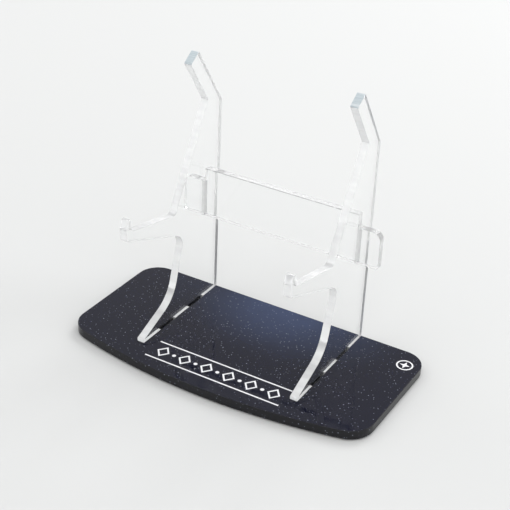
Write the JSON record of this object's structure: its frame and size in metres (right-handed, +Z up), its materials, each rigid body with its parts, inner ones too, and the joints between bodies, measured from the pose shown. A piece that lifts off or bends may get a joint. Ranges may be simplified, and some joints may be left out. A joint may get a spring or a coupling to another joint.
{
  "type": "acrylic display stand",
  "caption": "Flat-pack display stand: gloss black base plate, two clear slotted side supports with cradle hooks and leaning fingers, and a clear cross brace.",
  "frame": {"origin": "on the surface the stand rests on, under the middle of the base plate", "axes": "+Z up, +X along the wide side of the base plate to the right as seen from the front, +Y to the straight back edge; the hooks and the bowed edge point to -Y"},
  "size_m": [0.2, 0.101, 0.1734],
  "materials": {
    "black_acrylic": "polished black sheet with fine pale flecks",
    "clear_acrylic": "clear polished sheet with laser-cut edges",
    "clear_bumper": "translucent soft plastic",
    "white_inlay": "matt white paint fill"
  },
  "bodies": {
    "base": {"base_plate": "black_acrylic", "foot_front_left": "clear_bumper", "foot_front_right": "clear_bumper", "foot_back_left": "clear_bumper", "foot_back_right": "clear_bumper", "front_rule": "white_inlay", "back_rule": "white_inlay", "lozenge_row": "white_inlay", "dot_row": "white_inlay", "badge_ring": "white_inlay", "badge_star": "white_inlay"},
    "clear_frame": {"left_support": "clear_acrylic", "right_support": "clear_acrylic", "cross_brace": "clear_acrylic"}
  },
  "joints": [
    {"name": "frame_lift", "type": "slide", "parent": "base", "child": "clear_frame", "axis": [0, 0, 1], "range_m": [0, 0.012]}
  ]
}
